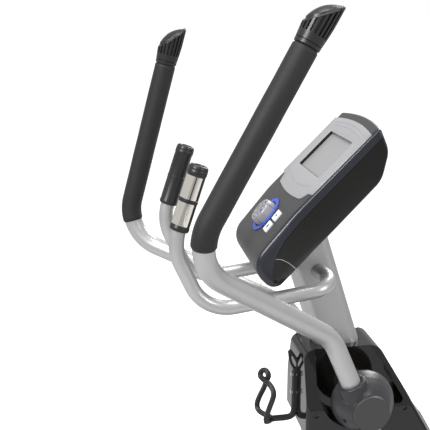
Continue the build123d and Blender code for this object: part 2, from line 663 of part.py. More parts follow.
def make_pedal_arm(name, side):
    """The coupler: bearing at the crank, bearing on the swinging arm, and the foot pad behind."""
    pin_x, pin_z = swung_point(ROCKER_PIN, side)
    angle = radians(CRANK_ANGLE if side < 0 else CRANK_ANGLE + 180)
    crank_x = CRANK_X + CRANK_RADIUS * cos(angle)
    crank_z = CRANK_Z + CRANK_RADIUS * sin(angle)
    slope = atan2(crank_z - pin_z, crank_x - pin_x)
    near, far = PEDAL_ARM_FACES
    middle = side * PAD_MIDDLE

    def placed(shape):
        return Location((pin_x, 0, pin_z), (0, -degrees(slope), 0)) * shape

    reach = sqrt((crank_x - pin_x) ** 2 + (crank_z - pin_z) ** 2)
    bar = block(-430, reach, side * near, side * far, -25, 25)
    core = block(-427, reach - 34, side * (near + 2.5), side * (far - 2.5), -22.5, 22.5)
    core -= along_y(24, side * near, side * far)
    bar = bar - core + along_y(28, side * near, side * far, reach, 0)
    bar -= along_y(10 + RUNNING_GAP, side * (near - 1), side * (far + 1))
    bar -= along_y(15, side * (near - 1), side * (far + 1), reach, 0)
    save(f"pedal_arm_{name}", placed(bar))

    half = PAD_WIDTH / 2
    pad = block(-424, -84, middle - half, middle + half, 25.2, 37)
    pad = fillet(pad.edges().filter_by(Axis.Z), 30)
    toe = block(-132, -84, middle - half, middle + half, 37, 68)
    toe = fillet(toe.edges().filter_by(Axis.Z).sort_by(Axis.X)[-2:], 30)
    toe -= block(-140, -92, middle - half + 6, middle + half - 6, 36, 70)
    pad += toe
    for edge in (-half, half - 6):
        pad += block(-360, -120, middle + edge, middle + edge + 6, 37, 52)
    pad += block(-424, -418, middle - 34, middle + 34, 37, 46)
    save(f"foot_pad_{name}", placed(pad))


# ---------------------------------------------------------------- hand pulse bars

def pulse_frame(side):
    """A plane at the grip's lower end, with its normal up the grip."""
    corners = [Vector(*point) for point in mirrored_points(PULSE_PATH, side)]
    up = (corners[4] - corners[3]).normalized()
    base = corners[4] - up * 117
    return Plane(origin=base, x_dir=(up.Z, 0, -up.X), z_dir=up)


def make_pulse_bars():
    """Fixed bars with split metal contact plates round a moulded grip."""
    bars = []
    grips = []
    plates = []
    caps = []
    for side in (-1, 1):
        path = bent_path(mirrored_points(PULSE_PATH, side), PULSE_BENDS)
        bars.append(tube(path, PULSE_TUBE, 2))
        frame = pulse_frame(side)
        outer = PULSE_GRIP / 2
        middle = frame * Pos(0, 0, PULSE_GRIP_LENGTH / 2)
        grip = middle * Cylinder(outer, PULSE_GRIP_LENGTH)
        grip -= middle * Cylinder(PULSE_TUBE / 2 + 0.1, PULSE_GRIP_LENGTH + 10)
        for low, high in CONTACTS:
            seat = frame * Pos(0, 0, (low + high) / 2) * Rotation(0, 0, -side * CONTACT_TURN)
            length = high - low
            cut = seat * Cylinder(outer + 1, length) - seat * Cylinder(outer - 1.3, length)
            grip -= cut & (seat * Pos(-outer - 8.2, 0, 0) * Box(2 * outer + 2, 60, length))
            plate = seat * Cylinder(outer + 0.3, length - 0.4)
            plate -= seat * Cylinder(outer - 1.2, length)
            plates.append(plate & (seat * Pos(-outer - 8.4, 0, 0) * Box(2 * outer + 2, 60, length)))
        grips.append(grip)
        cap = frame * Pos(0, 0, 118) * Cylinder(outer - 0.5, 9.6)
        cap -= frame * Pos(0, 0, 116) * Cylinder(PULSE_TUBE / 2 + 0.1, 7.2)
        caps.append(cap)
    save("pulse_bars", *bars)
    save("pulse_grips", *grips)
    save("pulse_plates", *plates)
    save("pulse_end_caps", *caps)


# ---------------------------------------------------------------- console

def on_pad(right, up, out):
    """A location on the key pad, which dips a little from the display's plane."""
    pad = Location((PAD_RIGHT, PAD_UP, PAD_DROP), (PAD_TILT, 0, 0))
    return FACE.location * pad * Location((right, up, out))


def console_outline():
    """Side view in the face frame: along the face, and out of it."""
    return rounded_outline([
        ((108, 0), 3), ((90, -50), 38), ((0, -69), 150), ((-75, -98), 60), ((-249, -97), 25),
        ((-252, -12), 60), ((-125, 0), 200),
    ])


def console_prism(inset):
    """The console's width and arched top, carried back parallel to its leaning top side."""
    half = CONSOLE_HALF - inset
    corner = 97 - inset
    arch = ThreePointArc((-half, corner), (0, 108 - inset), (half, corner))
    sides = Polyline((half, corner), (half, -300), (-half, -300), (-half, corner))
    plan = FACE.offset(40) * make_face(Wire(arch.edges() + sides.edges()))
    lean = FACE.y_dir * -18 + FACE.z_dir * -50
    return extrude(plan.moved(Location(FACE.y_dir * 14.4)), amount=220, dir=tuple(lean))


def make_console():
    outline = console_outline()
    body = extrude(SECTION.offset(-CONSOLE_HALF) * outline, amount=2 * CONSOLE_HALF)
    body &= console_prism(0)
    inner_half = CONSOLE_HALF - CONSOLE_WALL
    inner_outline = offset(outline, amount=-CONSOLE_WALL)
    cavity = extrude(SECTION.offset(-inner_half) * inner_outline, amount=2 * inner_half)
    cavity &= console_prism(CONSOLE_WALL)
    hollow = body - cavity
    parting = [(160, 30), (160, -24), (-150, -24), (-205, -44), (-226, -78), (-226, -140)]
    parting += [(-320, -140), (-320, 30)]
    parting_face = make_face(Polyline(*parting, close=True))
    front_zone = extrude(SECTION.offset(-150) * parting_face, amount=300)

    face = hollow & front_zone
    tub = (hollow - front_zone).solids().sort_by(SortBy.VOLUME)[-1]
    display_hole = FACE * Pos(0, 0, -2) * Box(DISPLAY_WIDE + 8, DISPLAY_HIGH + 8, 30)
    face -= display_hole
    key_gap = 0.4
    face -= on_pad(0, 0, 0) * Cylinder(PAD_RADIUS + key_gap, 20)
    for up in KEY_HEIGHTS:
        face -= on_pad(KEY_RIGHT, up, 0) * Box(KEY_WIDE + 2 * key_gap, KEY_HIGH + 2 * key_gap, 20)
    mast_way = mast_bar(MAST_DEEP + 1, MAST_WIDE + 1, 22.5, 150, 330)
    tub -= mast_way
    face -= mast_way
    save("console_face", face)
    save("console_shell", tub)
    make_display()
    make_keys()

    bracket = FACE.offset(BRACKET_DEPTH) * Pos(0, -130, 2.1) * Box(90, 110, 4)
    save("console_bracket", bracket)
    board = FACE * Pos(0, -30, -16) * Box(170, 190, 1.6)
    board += FACE * Pos(0, -155, -17) * Box(150, 62, 1.6)
    save("circuit_board", board)


def bezel_outline():
    half = BEZEL_HALF
    top = ThreePointArc((-half, 76), (0, 86), (half, 76))
    right = Polyline((half, 76), (half, -76), (98, -76), (88, -84))
    tongue = ThreePointArc((88, -84), (0, -105), (-88, -84))
    left = Polyline((-88, -84), (-98, -76), (-half, -76), (-half, 76))
    return make_face(Wire(top.edges() + right.edges() + tongue.edges() + left.edges()))


def make_display():
    bezel = extrude(FACE * bezel_outline(), amount=BEZEL_THICK)
    bezel -= FACE * Box(DISPLAY_WIDE, DISPLAY_HIGH, 20)
    save("display_bezel", bezel)
    save("lcd_panel", FACE * Pos(0, 0, -6.5) * Box(DISPLAY_WIDE + 6, DISPLAY_HIGH + 6, 5))


def make_keys():
    """Blue ring, four direction keys round a centre key, and two square keys beside them."""
    ring = on_pad(0, 0, 0.9) * Cylinder(RING_OUTER, 1.8)
    ring -= on_pad(0, 0, 0.9) * Cylinder(RING_INNER, 6)
    save("control_ring", ring)
    foot, head = -6.0, 12.0
    tall = head - foot
    disc = Circle(PAD_RADIUS - 0.3) - Circle(10.6)
    for name, turn in (("up", 90), ("left", 180), ("down", 270), ("right", 0)):
        wedge = Polyline((0.4, 0), (60.4, 60), (60.4, -60), close=True)
        sector = disc & (Rotation(0, 0, turn) * make_face(wedge))
        save(f"key_{name}", on_pad(0, 0, foot) * extrude(sector, amount=tall))
    save("key_enter", on_pad(0, 0, (foot + head) / 2 - 0.5) * Cylinder(10, tall - 1))
    for name, up in zip(("key_start", "key_stop"), KEY_HEIGHTS):
        save(name, on_pad(KEY_RIGHT, up, -1.2) * Box(KEY_WIDE, KEY_HIGH, 7))


os.makedirs("parts", exist_ok=True)
make_base()
make_stabilizers()
make_wheels()
make_upright()
make_mast()
make_pivot_axle()
make_shroud()
make_shroud_fittings()
make_bottle_cage()
make_drive()
for side_name, side_sign in SIDES.items():
    make_arm(side_name, side_sign)
    make_pedal_arm(side_name, side_sign)
make_pulse_bars()
make_console()
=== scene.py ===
import bpy
import json
from math import asin, atan2, cos, degrees, pi, radians, sin, sqrt, tan
from mathutils import Matrix, Vector, noise


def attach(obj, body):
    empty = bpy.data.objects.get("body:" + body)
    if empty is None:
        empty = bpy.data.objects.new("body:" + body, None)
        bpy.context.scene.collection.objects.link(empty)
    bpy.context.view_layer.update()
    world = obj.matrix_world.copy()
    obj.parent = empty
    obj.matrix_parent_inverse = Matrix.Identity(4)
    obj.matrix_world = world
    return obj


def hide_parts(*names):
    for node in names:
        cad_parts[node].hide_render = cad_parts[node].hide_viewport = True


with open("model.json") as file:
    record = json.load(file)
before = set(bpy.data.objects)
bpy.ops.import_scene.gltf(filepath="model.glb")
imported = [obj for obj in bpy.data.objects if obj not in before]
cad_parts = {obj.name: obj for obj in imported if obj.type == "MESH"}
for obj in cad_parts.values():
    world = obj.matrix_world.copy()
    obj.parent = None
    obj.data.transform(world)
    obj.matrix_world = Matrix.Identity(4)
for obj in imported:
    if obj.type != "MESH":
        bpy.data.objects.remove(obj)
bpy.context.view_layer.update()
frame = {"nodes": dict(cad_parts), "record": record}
nodes = frame["nodes"]
SIDES = {"right": -1, "left": 1}

# the swing axis of the arms, taken from the model's own joints
JOINTS = {joint["name"]: joint for joint in frame["record"]["behaviour"]["joints"]}
PIVOT = Vector(JOINTS["arm_right_swing"]["pos_m"])
MM = 0.001
ACROSS = Vector((0, 1, 0))  # from the right side to the left


# ---------------------------------------------------------------- materials

def material(name, color, roughness, metallic, grain, bump, vary=0.06, wear=0.04, **inputs):
    """A procedural finish: colour and roughness drift over the surface, and a fine grain in the bump."""
    mat = bpy.data.materials.new(name)
    mat.use_nodes = True
    tree = mat.node_tree
    shader = tree.nodes["Principled BSDF"]
    place = tree.nodes.new("ShaderNodeTexCoord")
    drift = tree.nodes.new("ShaderNodeTexNoise")
    drift.inputs["Scale"].default_value = 9.0
    drift.inputs["Detail"].default_value = 4.0
    tree.links.new(place.outputs["Object"], drift.inputs["Vector"])
    tint = tree.nodes.new("ShaderNodeValToRGB")
    tint.color_ramp.elements[0].position = 0.3
    tint.color_ramp.elements[1].position = 0.7
    tint.color_ramp.elements[0].color = [*(c * (1 - vary) for c in color), 1]
    tint.color_ramp.elements[1].color = [*(min(1, c * (1 + vary)) for c in color), 1]
    tree.links.new(drift.outputs["Fac"], tint.inputs["Fac"])
    tree.links.new(tint.outputs["Color"], shader.inputs["Base Color"])
    rough = tree.nodes.new("ShaderNodeMapRange")
    rough.inputs["To Min"].default_value = max(0.02, roughness - wear)
    rough.inputs["To Max"].default_value = min(1, roughness + wear)
    tree.links.new(drift.outputs["Fac"], rough.inputs["Value"])
    tree.links.new(rough.outputs["Result"], shader.inputs["Roughness"])
    shader.inputs["Metallic"].default_value = metallic
    for key, value in inputs.items():
        shader.inputs[key.replace("_", " ")].default_value = value
    fine = tree.nodes.new("ShaderNodeTexNoise")
    fine.inputs["Scale"].default_value = grain
    fine.inputs["Detail"].default_value = 3.0
    tree.links.new(place.outputs["Object"], fine.inputs["Vector"])
    relief = tree.nodes.new("ShaderNodeBump")
    relief.inputs["Strength"].default_value = bump
    relief.inputs["Distance"].default_value = 0.0004
    tree.links.new(fine.outputs["Fac"], relief.inputs["Height"])
    tree.links.new(relief.outputs["Normal"], shader.inputs["Normal"])
    return mat


# colour, roughness, metallic, grain, bump, and how far colour and roughness drift where it matters
FINISHES = {
    "silver_paint": ((0.47, 0.47, 0.475), 0.33, 0.6, 2600, 0.22, 0.03),
    "black_paint": ((0.02, 0.02, 0.022), 0.4, 0.0, 1200, 0.2),
    "bare_steel": ((0.52, 0.52, 0.53), 0.3, 1.0, 1800, 0.2),
    "cast_iron": ((0.12, 0.12, 0.125), 0.6, 0.8, 700, 0.6),
    "gloss_black": ((0.007, 0.0065, 0.006), 0.07, 0.0, 700, 0.03, 0.15, 0.03),
    "satin_grey": ((0.036, 0.036, 0.037), 0.42, 0.0, 2400, 0.3, 0.08),
    "cover_grey": ((0.022, 0.022, 0.026), 0.34, 0.0, 2400, 0.25, 0.08),
    "matte_black": ((0.014, 0.014, 0.0145), 0.48, 0.0, 2200, 0.35, 0.1),
    "silver_plastic": ((0.36, 0.36, 0.375), 0.34, 0.25, 2600, 0.12, 0.03),
    "white_plastic": ((0.82, 0.82, 0.82), 0.35, 0.0, 1500, 0.1, 0.02),
    "blue_plastic": ((0.02, 0.07, 0.50), 0.25, 0.0, 1500, 0.1),
    "foam": ((0.0055, 0.0055, 0.0062), 0.62, 0.0, 1800, 0.7, 0.15, 0.08),
    "rubber": ((0.015, 0.015, 0.015), 0.75, 0.0, 1100, 0.5),
    "mirror_steel": ((0.86, 0.82, 0.76), 0.09, 1.0, 1500, 0.03, 0.03, 0.03),
    "lcd": ((0.27, 0.275, 0.27), 0.35, 0.0, 1500, 0.05, 0.02),
    "board": ((0.01, 0.12, 0.03), 0.4, 0.0, 900, 0.3),
    "cap_black": ((0.013, 0.013, 0.0135), 0.34, 0.0, 2200, 0.2),
    # the band is the front moulding's own rounded side wall; its darker, bluish tone is painted shade and a
    # painted bluish reflection
    "shaded_band_gloss": ((0.017, 0.018, 0.026), 0.26, 0.0, 2400, 0.1, 0.1, 0.04),
    "bezel_line": ((0.30, 0.31, 0.33), 0.35, 0.3, 1500, 0.1),
    "sign_grey": ((0.08, 0.08, 0.09), 0.5, 0.0, 1500, 0.1),
    "magnet": ((0.3, 0.3, 0.31), 0.35, 1.0, 900, 0.3),
}
EXTRAS = {
    "silver_paint": {"Coat_Weight": 0.2, "Coat_Roughness": 0.22},
    "foam": {"Sheen_Weight": 0.05, "Sheen_Roughness": 0.5},
}
MATERIALS = {name: material(name, *values, **EXTRAS.get(name, {})) for name, values in FINISHES.items()}

for part in frame["record"]["subparts"]:
    slots = nodes[part["node"]].data.materials
    slots.clear()
    slots.append(MATERIALS[part["material_slot"]])


# ---------------------------------------------------------------- mesh tools

def mesh_object(name, verts, faces):
    data = bpy.data.meshes.new(name)
    data.from_pydata([tuple(v) for v in verts], [], faces)
    data.validate()
    piece = bpy.data.objects.new(name, data)
    bpy.context.collection.objects.link(piece)
    return piece


def add_mesh(name, verts, faces, finish, body, stands_for=(), smooth_angle=40):
    """A mesh piece with its finish, or a list of them, that rides on a body."""
    piece = mesh_object(name, verts, faces)
    for each in [finish] if isinstance(finish, str) else finish:
        piece.data.materials.append(MATERIALS[each])
    shade(piece, smooth_angle)
    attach(piece, body)
    if stands_for:
        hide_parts(*stands_for)
    return piece


def pick(piece):
    bpy.ops.object.select_all(action="DESELECT")
    piece.select_set(True)
    bpy.context.view_layer.objects.active = piece


def shade(piece, angle):
    """Smooth shading, kept crisp at edges sharper than an angle."""
    pick(piece)
    bpy.ops.object.shade_smooth_by_angle(angle=radians(angle), keep_sharp_edges=False)
    piece.select_set(False)


def apply_modifiers(piece):
    """Turn a piece's modifiers into its mesh."""
    pick(piece)
    for modifier in list(piece.modifiers):
        bpy.ops.object.modifier_apply(modifier=modifier.name)
    piece.select_set(False)


def skin(rings, closed=False):
    """Quads between rings of equal length; the ends are closed with one face each, or joined."""
    count = len(rings[0])
    verts = [vert for ring in rings for vert in ring]
    faces = []
    strips = len(rings) if closed else len(rings) - 1
    for row in range(strips):
        here, there = row * count, ((row + 1) % len(rings)) * count
        for i in range(count):
            j = (i + 1) % count
            faces.append((here + i, here + j, there + j, there + i))
    if not closed:
        faces.append(tuple(reversed(range(count))))
        faces.append(tuple(range(len(verts) - count, len(verts))))
    return verts, faces


def join(bodies):
    """Several bodies' vertices and faces as one."""
    verts, faces = [], []
    for body_verts, body_faces in bodies:
        base = len(verts)
        verts += body_verts
        faces += [tuple(i + base for i in face) for face in body_faces]
    return verts, faces


def bend_points(points, radii, step=0.006):
    """Points along straight runs joined by tangent arcs."""
    path = [points[0]]
    for before, corner, after, radius in zip(points, points[1:], points[2:], radii):
        inward = (before - corner).normalized()
        outward = (after - corner).normalized()
        half_turn = (pi - inward.angle(outward)) / 2
        centre = corner + (inward + outward).normalized() * (radius / cos(half_turn))
        start = corner + inward * radius * tan(half_turn) - centre
        end = corner + outward * radius * tan(half_turn) - centre
        count = max(4, int(radius * 2 * half_turn / step))
        turn, axis = start.angle(end), start.cross(end)
        path += [centre + Matrix.Rotation(turn * i / count, 3, axis) @ start for i in range(count + 1)]
    path.append(points[-1])
    return path


def smooth_curve(points):
    """A smooth curve through a few points, twelve steps to a span."""
    result = []
    for i in range(len(points) - 1):
        p0, p1, p2, p3 = points[max(i - 1, 0)], points[i], points[i + 1], points[min(i + 2, len(points) - 1)]
        for k in range(12):
            t = k / 12
            result.append(0.5 * ((2 * p1) + (p2 - p0) * t + (2 * p0 - 5 * p1 + 4 * p2 - p3) * t * t
                                 + (3 * p1 - p0 - 3 * p2 + p3) * t ** 3))
    result.append(points[-1])
    return result


def resample(path, spacing):
    """Evenly spaced points along a path."""
    lengths = [(b - a).length for a, b in zip(path, path[1:])]
    count = max(2, round(sum(lengths) / spacing))
    result = []
    index, passed = 0, 0.0
    for k in range(count + 1):
        target = sum(lengths) * k / count
        while index < len(lengths) - 1 and passed + lengths[index] < target:
            passed += lengths[index]
            index += 1
        part = min(1, max(0, (target - passed) / max(lengths[index], 1e-9)))
        result.append(path[index].lerp(path[index + 1], part))
    return result


def sweep(path, section_at, up_hint):
    """Rings of a section, given by its share of the way along, carried along a path."""
    rings = []
    side = None
    for i, point in enumerate(path):
        along = (path[min(i + 1, len(path) - 1)] - path[max(i - 1, 0)]).normalized()
        side = (along.cross(up_hint) if side is None else side - along * side.dot(along)).normalized()
        up = side.cross(along)
        rings.append([point + side * x + up * y for x, y in section_at(i / (len(path) - 1))])
    return rings


def circle_points(radius, count):
    return [(radius * cos(2 * pi * i / count), radius * sin(2 * pi * i / count)) for i in range(count)]


def circle_in(centre, first, second, radius, count):
    """A ring of points round a centre, in the plane of two unit vectors."""
    return [centre + first * x + second * y for x, y in circle_points(radius, count)]


def rounded_box_points(wide, high, corner, steps=4):
    points = []
    for cx, cy, start in ((1, 1, 0), (-1, 1, 90), (-1, -1, 180), (1, -1, 270)):
        for k in range(steps + 1):
            turn = radians(start + 90 * k / steps)
            points.append((cx * (wide / 2 - corner) + corner * cos(turn),
                           cy * (high / 2 - corner) + corner * sin(turn)))
    return points


def soften(name):
    """A small rounded edge on a CAD node."""
    node = nodes[name]
    edge = node.modifiers.new("edge", "BEVEL")
    edge.width = 0.0006
    edge.segments = 2
    edge.limit_method = "ANGLE"
    edge.angle_limit = radians(35)


def boolean(piece, rings, operation="DIFFERENCE"):
    """Cut a piece with the closed body that some rings make, or keep only what lies inside it."""
    cutter = mesh_object("cutter", *skin(rings))
    cut = piece.modifiers.new("cut", "BOOLEAN")
    cut.operation = operation
    cut.solver = "EXACT"
    cut.object = cutter
    apply_modifiers(piece)
    bpy.data.objects.remove(cutter)


def melt(piece, voxel, passes, factor=0.5):
    """Merge a piece's overlapping bodies into one and soften where they meet."""
    weld = piece.modifiers.new("weld", "REMESH")
    weld.mode = "VOXEL"
    weld.voxel_size = voxel
    relax = piece.modifiers.new("relax", "SMOOTH")
    relax.iterations = passes
    relax.factor = factor
    apply_modifiers(piece)


# ---------------------------------------------------------------- swinging arms

REST_SWING = radians(7.4)
ARM_TUBE = 0.038
FOAM = 0.043
ARM_PLANE = 144.8  # of the hubs, from the middle
ARM_CORNERS = {
    "socket": (-38, ARM_PLANE, 43.4), "low": (-91.3, ARM_PLANE, 133.3),
    "high": (-400.6, 300.6, 296.8), "end": (-256.1, 283.2, 657.6),
}
HIGH_BEND = 0.088
FOAM_START = 0.62  # share of the upper bend that stays bare
FOAM_STEP = 0.004
FOAM_LIP = 0.004  # rounding of the sleeve's lower end; a third of it at the cap


def arm_point(corner, side):
    """A corner of an arm at its rest place."""
    x, y, z = (value * MM for value in ARM_CORNERS[corner])
    return PIVOT + Matrix.Rotation(-side * REST_SWING, 3, "Y") @ Vector((x, side * y, z))


def make_foam_grip(name, side):
    """Foam sleeve: starts in the upper bend, soft rounded ends, slightly uneven skin."""
    low, high, end = (arm_point(corner, side) for corner in ("low", "high", "end"))
    bend = bend_points([low, high, end], [HIGH_BEND])[1:-1]
    path = resample(bend[int(len(bend) * FOAM_START):] + [end], FOAM_STEP)

    def section(share):
        length = share * (len(path) - 1) * FOAM_STEP
        from_cap = (1 - share) * (len(path) - 1) * FOAM_STEP
        edge = min(1 - max(0, FOAM_LIP - length) / FOAM_LIP,
                   1 - max(0, FOAM_LIP / 3 - from_cap) / (FOAM_LIP / 3))
        radius = ARM_TUBE / 2 + 0.0004 + (FOAM - ARM_TUBE) / 2 * sqrt(max(0, 1 - (1 - edge) ** 2))
        points = []
        for x, y in circle_points(1, 56):
            ripple = noise.noise(Vector((x * 2.2, y * 2.2, length * 22 + side * 5))) * 0.00022
            points.append(((radius + ripple) * x, (radius + ripple) * y))
        return points

    verts, faces = skin(sweep(path, section, ACROSS))
    piece = add_mesh(f"foam_sleeve_{name}", verts, faces, "foam", f"arm_{name}", [f"foam_grip_{name}"])


CAP_POINTS = 320
CAP_SLOTS = 20
CAP_SLOT_DEPTH = 0.0034
CAP_SLOT_FOOT = 0.021
CAP_COLLAR = 0.0224
CAP_TOP = 0.0256
CAP_HEEL = 0.034  # height of the skirt at its low side
CAP_TIP = 0.083  # and at its high side
CAP_RIM = 0.0042  # plain band above the slots
CAP_CROWN = 0.012


def make_arm_cap(name, side):
    """End cap: a collar, a skirt with narrow upright slots, cut on a slant, with a crowned top."""
    high, end = arm_point("high", side), arm_point("end", side)
    up = (end - high).normalized()
    forward = ACROSS.cross(up).normalized()
    lateral = up.cross(forward)
    slope = (up * 2 * CAP_TOP - forward * (CAP_TIP - CAP_HEEL)).normalized()
    foot = CAP_COLLAR + 0.0004

    def top_height(turn, scale=1.0):
        return (CAP_HEEL + CAP_TIP) / 2 + (CAP_TIP - CAP_HEEL) / 2 * cos(turn) * scale

    def skirt(height):
        share = min(1, max(0, (height - 0.008) / 0.045))
        return foot + (CAP_TOP - foot) * sin(pi / 2 * share)

    def ring(height_of, radius_of, lift=0.0):
        """Points round the cap; the height follows from the turn and the radius from index and height."""
        points = []
        for i in range(CAP_POINTS):
            turn = 2 * pi * i / CAP_POINTS
            spoke = forward * cos(turn) + lateral * sin(turn)
            points.append(end + up * height_of(turn) + spoke * radius_of(i, height_of(turn)) + slope * lift)
        return points

    def level_ring(height, radius):
        return ring(lambda turn: height, lambda i, h: radius)

    def slotted_ring(share):
        """A ring a share of the way up the slots."""
        def height(turn):
            top = max(top_height(turn) - CAP_RIM, CAP_SLOT_FOOT + 0.004)
            return CAP_SLOT_FOOT + (top - CAP_SLOT_FOOT) * share

        def radius(i, h):
            in_slot = abs((i * CAP_SLOTS / CAP_POINTS) % 1.0 - 0.5) < 0.20
            return skirt(h) - (CAP_SLOT_DEPTH if in_slot else 0)
        return ring(height, radius)

    def rim_ring(drop, inset):
        return ring(lambda turn: top_height(turn) - drop, lambda i, h: skirt(h) - inset)

    def crown_ring(inset):
        scale = (CAP_TOP - inset) / CAP_TOP
        lift = CAP_CROWN * (1 - scale ** 2) - 0.0012
        return ring(lambda turn: top_height(turn, scale), lambda i, h: CAP_TOP - inset, lift)

    rings = [level_ring(height, radius) for height, radius in (
        (-0.004, ARM_TUBE / 2 - 0.002), (0.0003, ARM_TUBE / 2 - 0.002), (0.0003, CAP_COLLAR - 0.001),
        (0.001, CAP_COLLAR), (0.0065, foot), (0.0072, CAP_COLLAR - 0.0007), (0.0080, foot),
        (0.0140, skirt(0.014)), (CAP_SLOT_FOOT - 0.0003, skirt(CAP_SLOT_FOOT)))]
    rings += [slotted_ring(share) for share in (0.0, 0.2, 0.4, 0.6, 0.8, 1.0)]
    rings += [rim_ring(drop, inset) for drop, inset in (
        (CAP_RIM - 0.0003, 0), (0.0028, 0.0), (0.0014, 0.0006), (0.0004, 0.0019), (0.0, 0.0034))]
    rings += [crown_ring(inset) for inset in (0.0044, 0.007, 0.011, 0.016, 0.0215, 0.0248)]
    verts, faces = skin(rings)
    add_mesh(f"grip_end_{name}", verts, faces, "cap_black", f"arm_{name}", [f"arm_cap_{name}"], 34)


KNUCKLE_BASE = 0.106  # from the middle plane to the cover's inner face
KNUCKLE_NOSE = 0.1742  # and to its end
SOCKET_GAP = 0.0012


def make_knuckle(name, side):
    """Moulded cover: a rounded cone round the hub that flows into a collar round the tube."""
    rest = Matrix.Rotation(-side * REST_SWING, 3, "Y")
    lengthwise, upright = Vector((1, 0, 0)), Vector((0, 0, 1))

    def hub_ring(radius, out, count):
        return circle_in(PIVOT + ACROSS * side * out, lengthwise, upright, radius, count)

    profile = [(0.0545, 0.0), (0.0592, 0.0012), (0.0618, 0.0048), (0.0620, 0.010), (0.0606, 0.018),
               (0.0570, 0.030), (0.0512, 0.043), (0.0440, 0.056)]
    profile = [(0.0002, KNUCKLE_BASE)] + [(radius, KNUCKLE_BASE + out) for radius, out in profile]
    profile += [(0.0372, KNUCKLE_NOSE - 0.002), (0.0350, KNUCKLE_NOSE), (0.0002, KNUCKLE_NOSE)]
    verts, faces = skin([hub_ring(radius, out, 96) for radius, out in profile])
    socket, low = arm_point("socket", side), arm_point("low", side)
    down = (socket - low).normalized()
    other = down.cross(ACROSS)

    def rod(start, length, radius):
        return [circle_in(centre, ACROSS, other, radius, 64) for centre in (start, start + down * length)]

    verts, faces = join([(verts, faces), skin(rod(socket - down * 0.003, 0.062, 0.0275))])
    cover = add_mesh(f"knuckle_{name}", verts, faces, "cover_grey", f"arm_{name}", [f"knuckle_cover_{name}"])
    melt(cover, 0.0014, 12)
    boolean(cover, rod(socket - down * 0.01, 0.016, ARM_TUBE / 2 + SOCKET_GAP))
    start = PIVOT + rest @ Vector((-8, side * ARM_PLANE, -8)) * MM
    boolean(cover, rod(start + down * 0.01, 0.13, ARM_TUBE / 2 + 0.0016))
    boolean(cover, [hub_ring(0.046, out, 72) for out in (0.10, 0.128)])
    # two screw holes on the rear-lower flank
    for angle, out, radius in ((152, 0.137, 0.0535), (215, 0.150, 0.0475)):
        c, s = cos(radians(angle)), sin(radians(angle))
        spot = PIVOT + rest @ Vector((radius * c, side * out, radius * s))
        axis = (rest @ Vector((c * 0.85, side * 0.52, s * 0.85))).normalized()
        first = axis.cross(upright).normalized()
        second = axis.cross(first)
        boolean(cover, [circle_in(spot + axis * t, first, second, 0.0042, 28) for t in (-0.007, 0.012)])
    shade(cover, 45)


# ---------------------------------------------------------------- console

# The face's own directions: right, up and out of the display's centre, in millimetres.
TILT = radians(45.1)
DISPLAY = PIVOT + Vector((-0.0567, 0, 0.4647))
FACE_UP = Vector((cos(TILT), 0, sin(TILT)))
FACE_OUT = Vector((-sin(TILT), 0, cos(TILT)))
FACE_RIGHT = Vector((0, -1, 0))
CONSOLE_HALF = 121


def on_face(right, up, out):
    """A point of the console, from millimetres right of, up from and out of the display's centre."""
    return DISPLAY + (FACE_RIGHT * right + FACE_UP * up + FACE_OUT * out) * MM


def rounded_loop(corners, steps=9):
    """A closed outline with rounded corners, from (up, out, radius) corners, with its inward normals."""
    points = [Vector((u, n)) for u, n, radius in corners]
    area = sum(a.cross(b) for a, b in zip(points, points[1:] + points[:1]))
    winding = -1 if area > 0 else 1
    loop = []
    for index, (_, _, radius) in enumerate(corners):
        before, corner, after = points[index - 1], points[index], points[(index + 1) % len(points)]
        inward, outward = (before - corner).normalized(), (after - corner).normalized()
        half_turn = (pi - inward.angle(outward)) / 2
        centre = corner + (inward + outward).normalized() * (radius / cos(half_turn))
        start = corner + inward * radius * tan(half_turn) - centre
        end = corner + outward * radius * tan(half_turn) - centre
        turn = -start.angle_signed(end)
        convex = 1 if (before - corner).cross(after - corner) > 0 else -1
        for k in range(steps + 1):
            spoke = start.copy()
            spoke.rotate(Matrix.Rotation(turn * k / steps, 2))
            loop.append((centre + spoke, -spoke.normalized() * convex * winding))
    filled = []
    for (a, na), (b, nb) in zip(loop, loop[1:] + loop[:1]):
        filled.append((a, na))
        parts = int((b - a).length / 14) + 1
        filled += [(a.lerp(b, k / parts), na.lerp(nb, k / parts).normalized()) for k in range(1, parts)]
    return filled


def smooth_step(low, high, value):
    share = min(1, max(0, (value - low) / (high - low)))
    return share * share * (3 - 2 * share)


CONSOLE_OUTLINE = [
    (106, 0, 6), (88, -46, 40), (30, -76, 60), (-251, -82, 22), (-254, -12, 42), (-125, 0, 200),
]
SEAM = [
    (109, -17), (-79, -18), (-126, -19), (-169, -23), (-201, -33), (-225, -47), (-241, -67),
    (-247, -85), (-275, -92),
]
SEAM_GAP = 0.9
EDGE_ROUNDING = 5.0  # of the outline towards the sides, round the display
NOSE_ROUNDING = 18.0  # and round the nose
SIDE_ROUNDING = 9.0  # of the sides towards the outline
ARCH_DROP = 10  # of the top edge, from the middle to the sides
MAST_LEAN = radians(18)


